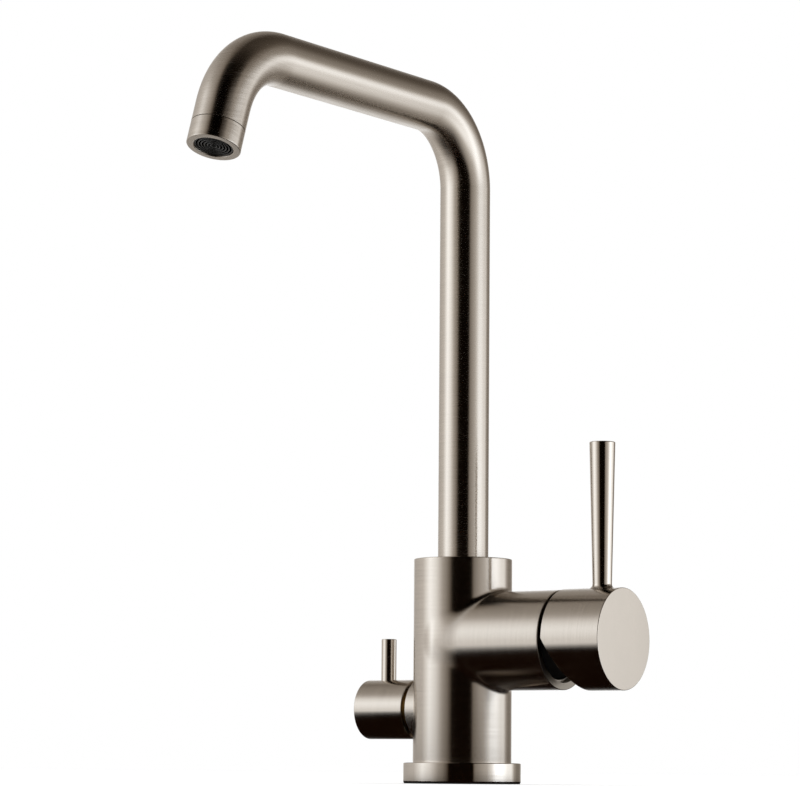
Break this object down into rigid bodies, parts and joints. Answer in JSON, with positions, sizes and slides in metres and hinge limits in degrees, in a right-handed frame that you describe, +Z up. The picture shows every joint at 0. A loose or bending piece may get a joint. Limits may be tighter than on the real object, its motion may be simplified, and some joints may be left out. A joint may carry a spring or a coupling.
{
  "type": "kitchen mixer tap",
  "caption": "Single-lever kitchen mixer tap: round column, side knob with pin lever, tall angular swivel spout and a small side shut-off valve knob.",
  "frame": {"origin": "centre of the column's underside, in the plane of the worktop", "axes": "+Z up along the column, -Y the way the spout points at rest, +X towards the mixing lever"},
  "size_m": [0.1475, 0.247, 0.345],
  "materials": {
    "satin_steel": "satin brushed nickel over brass, warm grey",
    "brass": "machined brass, plain",
    "black_rubber": "moulded EPDM seal",
    "black_plastic": "moulded acetal",
    "white_plastic": "moulded glass-filled nylon",
    "ceramic": "lapped alumina",
    "plain_steel": "plain stainless steel"
  },
  "bodies": {
    "root": {"base_ring": "satin_steel", "base_gasket": "black_rubber", "body_casting": "satin_steel", "spout_glide_ring": "black_plastic", "spout_thrust_ring": "white_plastic", "spout_stop_screw": "plain_steel", "cartridge_base": "white_plastic", "cartridge_port_seals": "black_rubber", "fixed_ceramic_disc": "ceramic", "cartridge_housing": "white_plastic", "cartridge_nut": "satin_steel", "cartridge_cover": "black_plastic", "valve_seat_seal": "black_rubber", "valve_fixed_disc": "ceramic", "valve_headwork": "brass"},
    "spout": {"spout_tube": "satin_steel", "spout_foot": "brass", "spout_seals": "black_rubber", "aerator_collar": "satin_steel", "aerator_insert": "black_plastic", "aerator_screen": "white_plastic", "aerator_seal": "black_rubber"},
    "rotor": {"cartridge_rotor": "white_plastic", "stem_pivot_pin": "plain_steel"},
    "disc_slide": {"disc_carrier": "white_plastic", "moving_ceramic_disc": "ceramic"},
    "lever": {"lever_stem": "brass", "lever_knob": "satin_steel", "lever_pin": "satin_steel", "knob_grub_screw": "plain_steel"},
    "valve_handle": {"valve_spindle": "brass", "valve_spindle_clip": "plain_steel", "valve_moving_disc": "ceramic", "valve_knob": "satin_steel", "valve_lever_pin": "satin_steel"}
  },
  "joints": [
    {"name": "spout_swivel", "type": "hinge", "parent": "root", "child": "spout", "pos_m": [0, 0, 0.11], "axis": [0, 0, 1], "range_deg": [-60, 60]},
    {"name": "temperature_turn", "type": "hinge", "parent": "root", "child": "rotor", "pos_m": [0.05202, 0, 0.0696], "axis": [1, 0, 0], "range_deg": [-50, 50]},
    {"name": "flow_tilt", "type": "hinge", "parent": "rotor", "child": "lever", "pos_m": [0.05202, 0, 0.0696], "axis": [0, 1, 0], "range_deg": [0, 25]},
    {"name": "disc_travel", "type": "slide", "parent": "rotor", "child": "disc_slide", "axis": [0, 0, 1], "range_m": [0, 0.0053]},
    {"name": "valve_turn", "type": "hinge", "parent": "root", "child": "valve_handle", "pos_m": [-0.0441, 0, 0.0365], "axis": [1, 0, 0], "range_deg": [0, 90]}
  ],
  "couplings": [
    {"joint": "disc_travel", "follows": "flow_tilt", "m_per_rad": 0.012107}
  ]
}
